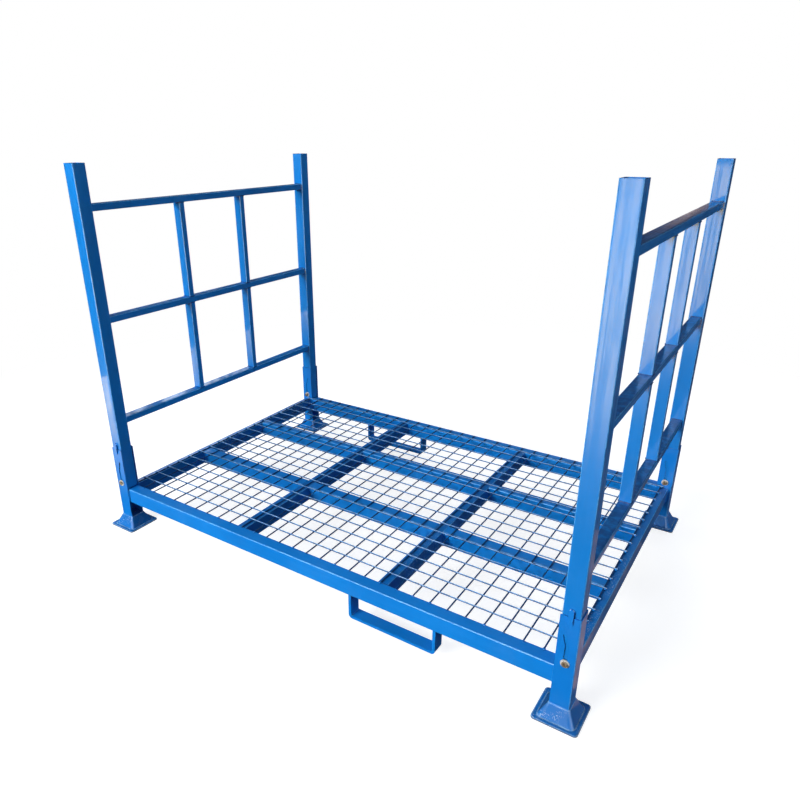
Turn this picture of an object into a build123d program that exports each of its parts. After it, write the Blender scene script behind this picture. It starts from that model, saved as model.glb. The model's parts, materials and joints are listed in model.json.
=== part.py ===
from build123d import *
import os

# Folding stacking rack with a wire mesh deck. Millimetres, +Z up.
# Origin: on the floor, at the centre of the rack. X runs along the long sides and the
# front is at -Y. Each corner has a local frame at the post's centre on deck level, with
# local +X and +Y pointing into the rack; the other corners are mirror images of it.

# ---------------------------------------------------------------- overall sizes
RACK_LENGTH = 1500.0  # over the posts, along X
RACK_WIDTH = 992.0  # over the posts, along Y
RACK_HEIGHT = 1120.0  # floor to the top of the posts
DECK_HEIGHT = 136.0  # floor to the top of the base beams

# ---------------------------------------------------------------- base frame tubes
BASE_DEPTH = 48.0  # every base tube is as deep as this
BASE_WALL = 2.5
TUBE_CORNER = 3.0  # outside corner radius of every tube
SIDE_BEAM_WIDTH = 38.0
SIDE_BEAM_ENTRY = 2.5  # length of a side beam's end that is welded inside the stub
END_BEAM_WIDTH = 25.0
CROSS_BEARER_WIDTH = 30.0
CROSS_BEARER_SPACING = 490.0  # between the two cross bearers' centres
INNER_BEARER_WIDTH = 35.0
FRONT_BEARER_OFFSET = 143.0  # front inner bearer, in front of the rack's centre
REAR_BEARER_OFFSET = 167.0  # rear inner bearer, behind the rack's centre

# ---------------------------------------------------------------- mesh deck
WIRE_DIAMETER = 4.0
MESH_PITCH = 48.0
FIRST_LONG_WIRE = 39.4  # from the front beam's inner face to the first long wire
FRONT_LAP = 6.0  # cross wires on the front beam
REAR_LAP = 29.0  # cross wires on the rear beam
END_LAP = 10.5  # long wires over the end beams
END_WIRE_GAP = 1.0  # outermost cross wires stop short of the stubs

# ---------------------------------------------------------------- corner stubs
STUB_WALL = 2.0
POST_CLEARANCE = 0.5  # post to each wall of its stub
STUB_CORNER = 3.0
STUB_RISE = 140.0  # stub's top above the deck

# ---------------------------------------------------------------- bell feet
FOOT_HEIGHT = 36.0
FOOT_FLANGE = 106.0
FOOT_FLANGE_THICKNESS = 3.0
FOOT_FLANGE_CORNER = 9.0
FOOT_FLANGE_EDGE = 1.0  # rounding of the flange's upper edge
FOOT_SKIRT = 86.0  # width of the sloping skirt where it meets the flange
FOOT_SKIRT_CORNER = 13.0
FOOT_LEDGE = 1.5  # roof's rim beyond the stub
FOOT_ROOF_CORNER = 5.0
FOOT_ROOF_EDGE = 1.2  # rounding of the roof's upper edge
FOOT_WALL = 3.5  # skirt, measured level
FOOT_ROOF = 3.0

# ---------------------------------------------------------------- fork guides
GUIDE_WIDTH = 257.0
GUIDE_DROP = 72.0  # below the side beam
GUIDE_THICKNESS = 8.0
GUIDE_BAR_WIDTH = 35.0
GUIDE_CORNER = 11.0
GUIDE_OFFSET = 290.0  # from the rack's centre: front guide to the right, rear to the left

# ---------------------------------------------------------------- end frames
POST_SIZE = 40.0
POST_WALL = 2.5
POST_SEAT_GAP = 2.5  # bottom of a post above the deck
RAIL_WIDTH = 30.0
RAIL_DEPTH = 20.0
RAIL_WALL = 2.0
TOP_RAIL_DROP = 107.0  # top face of the top rail below the posts' tops
MIDDLE_RAIL_RISE = 559.0  # top faces of the other rails above the deck
BOTTOM_RAIL_RISE = 238.0
UPRIGHT_WIDTH = 30.0  # along X
UPRIGHT_DEPTH = 20.0  # along Y
UPRIGHT_WALL = 2.0
UPRIGHT_SPACING = 268.0

# ---------------------------------------------------------------- pivots and slots
PIVOT_RISE = 20.0  # pivot bolt above the deck
BOLT_DIAMETER = 8.0
PIVOT_FIT = 0.05  # radial clearance of the bolt in the post
SLOT_CLEARANCE = 0.3  # radial clearance of the bolt in the slot
SLOT_RUN = 46.0  # straight run of the slot
SLOT_HOOK_RISE = 24.0  # the slot's upper end leans into the rack
SLOT_HOOK_LEAN = 7.0
WASHER_DIAMETER = 20.0
WASHER_THICKNESS = 1.6
WASHER_CLEARANCE = 0.2  # radial, on the bolt, and side play to the stub
HEX_FLATS = 12.0  # across flats, bolt head and nut
HEX_CROWN = 11.2  # circle left on the face of a hexagon by its chamfer
HEX_CHAMFER_DEPTH = 1.0
HEAD_HEIGHT = 4.5
NUT_HEIGHT = 8.0
BOLT_PAST_NUT = 2.5

# ---------------------------------------------------------------- key lugs
LUG_WIDTH = 11.0
LUG_HEIGHT = 37.0
LUG_THICKNESS = 3.0  # part that stands in front of the stub
LUG_OVERLAP = 17.0  # length that hangs below the stub's top
LUG_CLEARANCE = 0.3  # lug to the stub's face
LUG_ROOT_GAP = 3.0  # welded root above the stub's top, so that it swings clear

# ---------------------------------------------------------------- derived sizes
POST_X = (RACK_LENGTH - POST_SIZE) / 2
POST_Y = (RACK_WIDTH - POST_SIZE) / 2
POST_HALF = POST_SIZE / 2
STUB_INSIDE = POST_HALF + POST_CLEARANCE
STUB_HALF = STUB_INSIDE + STUB_WALL
STUB_FOOT = FOOT_HEIGHT - DECK_HEIGHT
BASE_LEVEL = DECK_HEIGHT - BASE_DEPTH / 2
SIDE_BEAM_INNER = POST_Y - STUB_INSIDE
SIDE_BEAM_Y = SIDE_BEAM_INNER + SIDE_BEAM_WIDTH / 2
SIDE_BEAM_LENGTH = 2 * (POST_X - STUB_HALF + SIDE_BEAM_ENTRY)
END_BEAM_LENGTH = 2 * (POST_Y - STUB_HALF)
END_BEAM_INNER = POST_X - END_BEAM_WIDTH / 2
CROSS_BEARER_X = CROSS_BEARER_SPACING / 2
RAIL_LENGTH = 2 * (POST_Y - POST_HALF)
TOP_RAIL_RISE = RACK_HEIGHT - DECK_HEIGHT - TOP_RAIL_DROP
BOLT_RADIUS = BOLT_DIAMETER / 2
SLOT_WIDTH = BOLT_DIAMETER + 2 * SLOT_CLEARANCE
CUT_ROOM = 2.0  # how far a cutting body runs past the face that it opens

LEFT, RIGHT = -1, 1
FRONT, REAR = -1, 1
SIDES = {"left": LEFT, "right": RIGHT}
ENDS = {"front": FRONT, "rear": REAR}


# ---------------------------------------------------------------- shared shapes
def tube_along_x(length, width, depth, wall):
    """Rectangular tube, centred: length along X, width along Y and depth along Z."""
    section = RectangleRounded(width, depth, TUBE_CORNER)
    section -= Rectangle(width - 2 * wall, depth - 2 * wall)
    return extrude(Plane.YZ * section, length / 2, both=True)


def tube_along_y(length, width, depth, wall):
    """Rectangular tube, centred: length along Y, width along X and depth along Z."""
    return Rot(0, 0, 90) * tube_along_x(length, width, depth, wall)


def tube_upright(height, width, depth, wall):
    """Rectangular tube, centred: height along Z, width along X and depth along Y."""
    return Rot(0, 90, 0) * tube_along_x(height, depth, width, wall)


def rod_along_y(radius, low, high):
    """Round bar along Y from low to high."""
    rod = Rot(90, 0, 0) * Cylinder(radius, high - low)
    return Pos(0, (low + high) / 2, 0) * rod


def at_corner(local, side, end):
    """Place a corner's local piece at the left or right, front or rear post."""
    if side == RIGHT:
        local = mirror(local, about=Plane.YZ)
    if end == REAR:
        local = mirror(local, about=Plane.XZ)
    return Pos(side * POST_X, end * POST_Y, DECK_HEIGHT) * local


# ---------------------------------------------------------------- base frame
def side_beam(end):
    """Long outer beam; its ends are welded inside the stubs."""
    beam = tube_along_x(SIDE_BEAM_LENGTH, SIDE_BEAM_WIDTH, BASE_DEPTH, BASE_WALL)
    return Pos(0, end * SIDE_BEAM_Y, BASE_LEVEL) * beam


def end_beam(side):
    """Short outer beam between the two stubs of one end."""
    beam = tube_along_y(END_BEAM_LENGTH, END_BEAM_WIDTH, BASE_DEPTH, BASE_WALL)
    return Pos(side * POST_X, 0, BASE_LEVEL) * beam


def cross_bearer(side):
    """Bearer from the front beam to the rear beam."""
    bearer = tube_along_y(2 * SIDE_BEAM_INNER, CROSS_BEARER_WIDTH, BASE_DEPTH, BASE_WALL)
    return Pos(side * CROSS_BEARER_X, 0, BASE_LEVEL) * bearer


def inner_bearer(low, high, y):
    """One length of an inner bearer, between the faces at x = low and x = high."""
    bearer = tube_along_x(high - low, INNER_BEARER_WIDTH, BASE_DEPTH, BASE_WALL)
    return Pos((low + high) / 2, y, BASE_LEVEL) * bearer


def inner_bearers():
    """The two inner bearers, each in three lengths cut by the cross bearers."""
    near_face = CROSS_BEARER_X - CROSS_BEARER_WIDTH / 2
    far_face = CROSS_BEARER_X + CROSS_BEARER_WIDTH / 2
    spans = {
        "left": (-END_BEAM_INNER, -far_face),
        "middle": (-near_face, near_face),
        "right": (far_face, END_BEAM_INNER),
    }
    rows = {"front": -FRONT_BEARER_OFFSET, "rear": REAR_BEARER_OFFSET}
    pieces = {}
    for row, y in rows.items():
        for place, (low, high) in spans.items():
            pieces[f"{row}_inner_bearer_{place}"] = inner_bearer(low, high, y)
    return pieces


# ---------------------------------------------------------------- mesh deck
def cross_wires():
    """Wires across the rack, lying on the base frame."""
    each_side = int(POST_X / MESH_PITCH)
    stub_face = POST_Y - STUB_HALF - END_WIRE_GAP
    wires = []
    for step in range(-each_side, each_side + 1):
        x = step * MESH_PITCH
        low = -SIDE_BEAM_INNER - FRONT_LAP
        high = SIDE_BEAM_INNER + REAR_LAP
        if POST_X - abs(x) < STUB_HALF + WIRE_DIAMETER:
            low = -stub_face
            high = stub_face
        wire = rod_along_y(WIRE_DIAMETER / 2, low, high)
        wires.append(Pos(x, 0, DECK_HEIGHT + WIRE_DIAMETER / 2) * wire)
    return Compound(children=wires)


def long_wires():
    """Wires along the rack, welded on top of the cross wires."""
    first = -SIDE_BEAM_INNER + FIRST_LONG_WIRE
    count = int((SIDE_BEAM_INNER - first) / MESH_PITCH) + 1
    length = 2 * (END_BEAM_INNER + END_LAP)
    level = DECK_HEIGHT + 1.5 * WIRE_DIAMETER
    wires = []
    for step in range(count):
        wire = Rot(0, 90, 0) * Cylinder(WIRE_DIAMETER / 2, length)
        wires.append(Pos(0, first + step * MESH_PITCH, level) * wire)
    return Compound(children=wires)


# ---------------------------------------------------------------- corner stubs
def slot_leg(start, finish):
    """One straight leg of the bolt slot, cut right through both walls of the stub."""
    leg = Edge.make_line(start, finish)
    middle = leg @ 0.5
    lean = Vector(0, 0, 1).get_signed_angle(leg % 0.5, Vector(0, 1, 0))
    depth = 2 * (STUB_HALF + CUT_ROOM)
    block = Pos(middle) * Rot(0, lean, 0) * Box(SLOT_WIDTH, depth, leg.length)
    for end in (start, finish):
        block += Pos(end) * Rot(90, 0, 0) * Cylinder(SLOT_WIDTH / 2, depth)
    return block


def stub():
    """U channel that holds the post: web on the outer side, open into the rack."""
    height = STUB_RISE - STUB_FOOT
    middle = (STUB_RISE + STUB_FOOT) / 2
    shell = Pos(0, 0, middle) * Box(2 * STUB_HALF, 2 * STUB_HALF, height)
    outer_edges = shell.edges().filter_by(Axis.Z).group_by(Axis.X)[0]
    shell = fillet(outer_edges, STUB_CORNER)
    hollow_length = STUB_INSIDE + STUB_HALF + CUT_ROOM
    hollow_x = hollow_length / 2 - STUB_INSIDE
    shell -= Pos(hollow_x, 0, middle) * Box(hollow_length, 2 * STUB_INSIDE, height)
    seat = Vector(0, 0, PIVOT_RISE)
    knee = seat + Vector(0, 0, SLOT_RUN)
    hook = knee + Vector(SLOT_HOOK_LEAN, 0, SLOT_HOOK_RISE)
    shell -= slot_leg(seat, knee)
    shell -= slot_leg(knee, hook)
    return shell


# ---------------------------------------------------------------- bell feet
def skirt_size(level):
    """Outside width and corner radius of the sloping skirt at a height above the floor."""
    drop = (FOOT_HEIGHT - level) / (FOOT_HEIGHT - FOOT_FLANGE_THICKNESS)
    roof_width = 2 * (STUB_HALF + FOOT_LEDGE)
    width = roof_width + drop * (FOOT_SKIRT - roof_width)
    corner = FOOT_ROOF_CORNER + drop * (FOOT_SKIRT_CORNER - FOOT_ROOF_CORNER)
    return width, corner


def skirt_block(low, high, inset):
    """Solid pyramid stump with the skirt's slope, made smaller all round by inset."""
    faces = []
    for level in (low, high):
        width, corner = skirt_size(level)
        width -= 2 * inset
        faces.append(Pos(0, 0, level) * RectangleRounded(width, width, corner))
    return loft(faces, ruled=True)


def foot():
    """Pressed bell foot: flat flange, sloping skirt and a roof that the stub stands on."""
    flange_face = RectangleRounded(FOOT_FLANGE, FOOT_FLANGE, FOOT_FLANGE_CORNER)
    flange = extrude(flange_face, FOOT_FLANGE_THICKNESS)
    flange = fillet(flange.faces().sort_by(Axis.Z)[-1].edges(), FOOT_FLANGE_EDGE)
    skirt = skirt_block(FOOT_FLANGE_THICKNESS, FOOT_HEIGHT, 0)
    skirt = fillet(skirt.faces().sort_by(Axis.Z)[-1].edges(), FOOT_ROOF_EDGE)
    bell = flange + skirt - skirt_block(-CUT_ROOM, FOOT_HEIGHT - FOOT_ROOF, FOOT_WALL)
    return Pos(0, 0, -DECK_HEIGHT) * bell


# ---------------------------------------------------------------- fork guides
def fork_guide(side, end):
    """Flat bar bent into a U and welded under a side beam."""
    outer = Box(GUIDE_WIDTH, GUIDE_BAR_WIDTH, GUIDE_DROP)
    outer = fillet(outer.edges().filter_by(Axis.Y).group_by(Axis.Z)[0], GUIDE_CORNER)
    opening_width = GUIDE_WIDTH - 2 * GUIDE_THICKNESS
    opening = Box(opening_width, GUIDE_BAR_WIDTH + CUT_ROOM, GUIDE_DROP)
    inner_corner = max(GUIDE_CORNER - GUIDE_THICKNESS, 1)
    opening = fillet(opening.edges().filter_by(Axis.Y).group_by(Axis.Z)[0], inner_corner)
    bar = outer - Pos(0, 0, GUIDE_THICKNESS) * opening
    level = DECK_HEIGHT - BASE_DEPTH - GUIDE_DROP / 2
    return Pos(side * GUIDE_OFFSET, end * SIDE_BEAM_Y, level) * bar


# ---------------------------------------------------------------- end frames
def post():
    """Square post with the pivot hole and a lower outer corner rounded to swing."""
    height = RACK_HEIGHT - DECK_HEIGHT - POST_SEAT_GAP
    tube = tube_upright(height, POST_SIZE, POST_SIZE, POST_WALL)
    tube = Pos(0, 0, POST_SEAT_GAP + height / 2) * tube
    hole = rod_along_y(BOLT_RADIUS + PIVOT_FIT, -POST_SIZE, POST_SIZE)
    tube -= Pos(0, 0, PIVOT_RISE) * hole
    corner = Pos(-POST_HALF, 0, PIVOT_RISE - POST_HALF) * Box(POST_SIZE, 2 * POST_SIZE, POST_SIZE)
    swing = Pos(0, 0, PIVOT_RISE) * rod_along_y(POST_HALF, -POST_SIZE, POST_SIZE)
    return tube - (corner - swing)


def rail(side, rise):
    """Level rail between the two posts of one end frame; rise is its top face."""
    bar = tube_along_y(RAIL_LENGTH, RAIL_WIDTH, RAIL_DEPTH, RAIL_WALL)
    return Pos(side * POST_X, 0, DECK_HEIGHT + rise - RAIL_DEPTH / 2) * bar


def upright(side, end, low_rise, high_rise):
    """Short upright between the rail whose top is low_rise and the next rail up."""
    height = high_rise - RAIL_DEPTH - low_rise
    bar = tube_upright(height, UPRIGHT_WIDTH, UPRIGHT_DEPTH, UPRIGHT_WALL)
    level = DECK_HEIGHT + low_rise + height / 2
    return Pos(side * POST_X, end * UPRIGHT_SPACING / 2, level) * bar


def key_lug():
    """Round-ended lug on the post's outer face that hangs in front of the stub."""
    base = STUB_RISE - LUG_OVERLAP
    stub_face = -STUB_HALF - LUG_CLEARANCE
    outline = SlotOverall(LUG_HEIGHT, LUG_WIDTH, rotation=90)
    thickness = LUG_THICKNESS - POST_HALF - stub_face
    lug = extrude(Plane.XZ * outline, thickness)
    lug = Pos(0, -POST_HALF, base + LUG_HEIGHT / 2) * lug
    root = STUB_RISE + LUG_ROOT_GAP
    relief_depth = -POST_HALF - stub_face
    relief = Box(2 * LUG_WIDTH, relief_depth, 2 * LUG_OVERLAP)
    relief = Pos(0, stub_face + relief_depth / 2, root - LUG_OVERLAP) * relief
    return lug - relief


# ---------------------------------------------------------------- pivot hardware
def hexagon(height):
    """Hexagon bar along Y, from the origin to -Y, with its far corners chamfered."""
    outline = RegularPolygon(HEX_FLATS / 2, 6, major_radius=False)
    prism = extrude(outline, height)
    crown = Pos(0, 0, height - HEX_CHAMFER_DEPTH / 2) * Cone(
        HEX_FLATS / 2 + HEX_CHAMFER_DEPTH, HEX_CROWN / 2, HEX_CHAMFER_DEPTH
    )
    body = Cylinder(HEX_FLATS, height - HEX_CHAMFER_DEPTH, align=(Align.CENTER, Align.CENTER, Align.MIN))
    return Rot(90, 0, 0) * (prism & (body + crown))


def pivot_bolt():
    """Hexagon bolt through both walls of the stub and the post."""
    under_head = -STUB_HALF - WASHER_CLEARANCE - WASHER_THICKNESS
    tip = STUB_HALF + WASHER_CLEARANCE + WASHER_THICKNESS + NUT_HEIGHT + BOLT_PAST_NUT
    bolt = rod_along_y(BOLT_RADIUS, under_head, tip)
    bolt += Pos(0, under_head, 0) * hexagon(HEAD_HEIGHT)
    return Pos(0, 0, PIVOT_RISE) * bolt


def washer(end):
    """Washer just outside one wall of the stub."""
    near = STUB_HALF + WASHER_CLEARANCE
    ring = rod_along_y(WASHER_DIAMETER / 2, near, near + WASHER_THICKNESS)
    ring -= rod_along_y(BOLT_RADIUS + WASHER_CLEARANCE, near - CUT_ROOM, near + WASHER_THICKNESS + CUT_ROOM)
    if end == FRONT:
        ring = mirror(ring, about=Plane.XZ)
    return Pos(0, 0, PIVOT_RISE) * ring


def lock_nut():
    """Lock nut on the bolt's inner end."""
    seat = STUB_HALF + WASHER_CLEARANCE + WASHER_THICKNESS
    nut = mirror(hexagon(NUT_HEIGHT), about=Plane.XZ)
    nut -= rod_along_y(BOLT_RADIUS + PIVOT_FIT, -CUT_ROOM, NUT_HEIGHT + CUT_ROOM)
    return Pos(0, seat, PIVOT_RISE) * nut


# ---------------------------------------------------------------- assembly
def base_nodes():
    """All pieces of the welded base."""
    nodes = {}
    for name, end in ENDS.items():
        nodes[f"{name}_side_beam"] = side_beam(end)
        nodes[f"{name}_fork_guide"] = fork_guide(-end, end)
    for name, side in SIDES.items():
        nodes[f"{name}_end_beam"] = end_beam(side)
        nodes[f"{name}_cross_bearer"] = cross_bearer(side)
    nodes.update(inner_bearers())
    nodes["mesh_cross_wires"] = cross_wires()
    nodes["mesh_long_wires"] = long_wires()
    for end_name, end in ENDS.items():
        for side_name, side in SIDES.items():
            nodes[f"{end_name}_{side_name}_stub"] = at_corner(stub(), side, end)
            nodes[f"{end_name}_{side_name}_foot"] = at_corner(foot(), side, end)
    return nodes


def end_frame_nodes(name, side):
    """Welded end frame: posts, rails, uprights and key lugs."""
    nodes = {}
    for end_name, end in ENDS.items():
        nodes[f"{name}_{end_name}_post"] = at_corner(post(), side, end)
        nodes[f"{name}_{end_name}_key_lug"] = at_corner(key_lug(), side, end)
        upper = upright(side, end, MIDDLE_RAIL_RISE, TOP_RAIL_RISE)
        lower = upright(side, end, BOTTOM_RAIL_RISE, MIDDLE_RAIL_RISE)
        nodes[f"{name}_{end_name}_upper_upright"] = upper
        nodes[f"{name}_{end_name}_lower_upright"] = lower
    nodes[f"{name}_top_rail"] = rail(side, TOP_RAIL_RISE)
    nodes[f"{name}_middle_rail"] = rail(side, MIDDLE_RAIL_RISE)
    nodes[f"{name}_bottom_rail"] = rail(side, BOTTOM_RAIL_RISE)
    return nodes


def hardware_nodes(name, side):
    """Bolts, washers and nuts that carry one end frame."""
    bolts = [at_corner(pivot_bolt(), side, end) for end in ENDS.values()]
    nuts = [at_corner(lock_nut(), side, end) for end in ENDS.values()]
    washers = [at_corner(washer(face), side, end) for end in ENDS.values() for face in ENDS.values()]
    return {
        f"{name}_pivot_bolts": Compound(children=bolts),
        f"{name}_washers": Compound(children=washers),
        f"{name}_lock_nuts": Compound(children=nuts),
    }


def main():
    """Build every node and write it to its own file."""
    nodes = base_nodes()
    for name, side in SIDES.items():
        nodes.update(end_frame_nodes(name, side))
        nodes.update(hardware_nodes(name, side))
    os.makedirs("parts", exist_ok=True)
    for name, shape in nodes.items():
        shape.label = name
        export_step(shape, f"parts/{name}.step")


main()
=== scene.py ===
"""Folding stacking rack with a wire mesh deck: finishes, welds, studio and camera."""

import json
import logging
import math
import random
from dataclasses import dataclass, field
from enum import Enum

import bpy
from mathutils import Matrix, Vector

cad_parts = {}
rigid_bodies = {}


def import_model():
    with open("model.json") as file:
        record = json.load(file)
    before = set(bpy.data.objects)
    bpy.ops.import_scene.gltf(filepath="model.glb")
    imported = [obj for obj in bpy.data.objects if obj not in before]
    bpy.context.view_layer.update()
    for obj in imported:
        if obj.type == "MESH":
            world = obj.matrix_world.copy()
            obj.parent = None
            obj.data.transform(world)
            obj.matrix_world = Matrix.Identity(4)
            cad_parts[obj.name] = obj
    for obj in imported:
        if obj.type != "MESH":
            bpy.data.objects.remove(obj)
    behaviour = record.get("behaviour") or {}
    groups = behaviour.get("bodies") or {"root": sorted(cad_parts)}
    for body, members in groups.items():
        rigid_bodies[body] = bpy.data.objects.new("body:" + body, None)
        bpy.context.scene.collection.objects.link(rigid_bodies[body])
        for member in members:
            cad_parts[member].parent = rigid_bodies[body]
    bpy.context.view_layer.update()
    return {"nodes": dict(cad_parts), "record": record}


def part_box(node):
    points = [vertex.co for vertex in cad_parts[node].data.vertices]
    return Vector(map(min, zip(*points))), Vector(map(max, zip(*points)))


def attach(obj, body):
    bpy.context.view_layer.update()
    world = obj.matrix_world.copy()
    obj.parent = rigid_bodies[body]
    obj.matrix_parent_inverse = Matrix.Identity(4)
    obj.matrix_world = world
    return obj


LOG = logging.getLogger("rack")

Tone = tuple[float, float, float]
Place = tuple[float, float, float]
Span = tuple[float, float]
Socket = bpy.types.NodeSocket
Material = bpy.types.Material


def clear_start_scene() -> None:
    """Removes whatever a new Blender scene starts with."""
    for item in list(bpy.data.objects):
        bpy.data.objects.remove(item)


clear_start_scene()
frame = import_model()

MM = 0.001
WIRE_DIAMETER = 4.0 * MM
CRISP_ANGLE = math.radians(30)  # bends sharper than this stay crisp
FULL: Span = (0.0, 1.0)


class Named(Enum):
    """Choice whose name is part of the names of nodes."""

    @property
    def word(self) -> str:
        """Name used in node, body and material names."""
        return self.name.lower()


class Axis(Named):
    """Direction in which a tube runs."""

    X = 0
    Y = 1
    Z = 2


class Side(Named):
    """The two end frames; the value is the sign of X."""

    LEFT = -1
    RIGHT = 1


class End(Named):
    """Front and rear of the rack; the value is the sign of Y."""

    FRONT = -1
    REAR = 1


def new_piece(name: str, points: tuple[Place, ...], faces: list[tuple[int, ...]],
              material: Material) -> bpy.types.Object:
    """Makes one piece of mesh.

    Args:
        name: its name.
        points: its points.
        faces: its faces, by the numbers of their points.
        material: its material.

    Returns:
        The new object, in the scene.
    """
    mesh = bpy.data.meshes.new(name)
    mesh.from_pydata(points, [], faces)
    mesh.materials.append(material)
    piece = bpy.data.objects.new(name, mesh)
    bpy.context.scene.collection.objects.link(piece)
    LOG.info("%s: %d points", name, len(points))
    return piece


# ---------------------------------------------------------------- finishes
@dataclass(frozen=True)
class Grain:
    """One noise pattern in object space, in cells per metre, and the span of it that counts."""

    scale: float
    detail: float = 3.0
    rough: float = 0.5
    span: Span = FULL


class NodeBench:
    """Short way to lay out the shader nodes of one material or world."""

    def __init__(self, owner: Material | bpy.types.World) -> None:
        """Starts with an empty tree.

        Args:
            owner: the new material or world.
        """
        owner.use_nodes = True
        self.owner = owner
        self.tree = owner.node_tree
        self.tree.nodes.clear()
        self.place = self.coords("Object")

    def add(self, kind: str, **settings: object) -> bpy.types.Node:
        """Adds one node.

        Args:
            kind: Blender's node type without the ShaderNode prefix.
            settings: node attributes, or socket values given by the socket's name
                with spaces written as underscores.

        Returns:
            The new node.
        """
        node = self.tree.nodes.new("ShaderNode" + kind)
        sockets = {socket.name.replace(" ", "_"): socket for socket in node.inputs}
        for key, value in settings.items():
            if key in sockets:
                sockets[key].default_value = value
            else:
                setattr(node, key, value)
        return node

    def link(self, source: Socket, target: Socket) -> None:
        """Connects two sockets."""
        self.tree.links.new(source, target)

    def feed(self, node: bpy.types.Node, *values: Socket) -> bpy.types.NodeOutputs:
        """Feeds the first inputs of a node.

        Args:
            node: the node.
            values: sockets for its inputs, in order.

        Returns:
            The node's outputs.
        """
        for value, target in zip(values, node.inputs):
            self.link(value, target)
        return node.outputs

    def end_in(self, shader: Socket, kind: str = "OutputMaterial") -> Material | bpy.types.World:
        """Ends the tree in a shader and gives its material or world back."""
        self.feed(self.add(kind), shader)
        return self.owner

    def coords(self, kind: str) -> Socket:
        """Texture coordinates of one kind."""
        return self.add("TexCoord").outputs[kind]

    def parts(self, vector: Socket) -> bpy.types.NodeOutputs:
        """The X, Y and Z of a vector."""
        return self.feed(self.add("SeparateXYZ"), vector)

    def stretched(self, scale: Place) -> Socket:
        """The place on the piece, scaled along each axis."""
        return self.feed(self.add("Mapping", Scale=scale), self.place)[0]

    def times(self, first: Socket, second: Socket) -> Socket:
        """Product of two values."""
        return self.feed(self.add("Math", operation="MULTIPLY"), first, second)[0]

    def larger(self, first: Socket, second: Socket) -> Socket:
        """The larger of two values."""
        return self.feed(self.add("Math", operation="MAXIMUM"), first, second)[0]

    def noise(self, grain: Grain, coords: Socket | None = None) -> Socket:
        """Raw noise.

        Args:
            grain: the pattern.
            coords: vector socket to read, if not the place on the piece.

        Returns:
            The noise value, from 0 to 1.
        """
        node = self.add("TexNoise", Scale=grain.scale, Detail=grain.detail, Roughness=grain.rough)
        self.link(self.place if coords is None else coords, node.inputs["Vector"])
        return node.outputs["Fac"]

    def remap(self, value: Socket, span: Span, target: Span = FULL) -> Socket:
        """Maps a value from one span to another with a smooth step.

        Args:
            value: socket to map.
            span: input low and high.
            target: output low and high.

        Returns:
            The mapped value.
        """
        node = self.add("MapRange", interpolation_type="SMOOTHSTEP")
        for name, number in zip(("From Min", "From Max", "To Min", "To Max"), span + target):
            node.inputs[name].default_value = number
        self.link(value, node.inputs["Value"])
        return node.outputs["Result"]

    def patches(self, grain: Grain, target: Span = FULL, coords: Socket | None = None) -> Socket:
        """Noise spread from its own span to the target's."""
        return self.remap(self.noise(grain, coords), grain.span, target)

    def mix(self, factor: Socket, base: Socket | Tone, over: Tone) -> Socket:
        """Lays one colour over another.

        Args:
            factor: share of the upper colour.
            base: the lower colour.
            over: the upper colour.

        Returns:
            The mixed colour.
        """
        node = self.add("Mix", data_type="RGBA")
        self.link(factor, node.inputs[0])
        lower, upper = node.inputs[6:8]  # the node's pair for colours
        if isinstance(base, tuple):
            lower.default_value = (*base, 1.0)
        else:
            self.link(base, lower)
        upper.default_value = (*over, 1.0)
        return node.outputs[2]

    def bump(self, height: Socket, strength: float, distance: float, under: Socket | None = None) -> Socket:
        """Relief made from a height.

        Args:
            height: the height, from 0 to 1.
            strength: how much of the relief shows.
            distance: how deep it is.
            under: normal of a coarser relief below it, if there is one.

        Returns:
            The new normal.
        """
        node = self.add("Bump", Strength=strength, Distance=distance)
        self.link(height, node.inputs["Height"])
        if under is not None:
            self.link(under, node.inputs["Normal"])
        return node.outputs[0]


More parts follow.
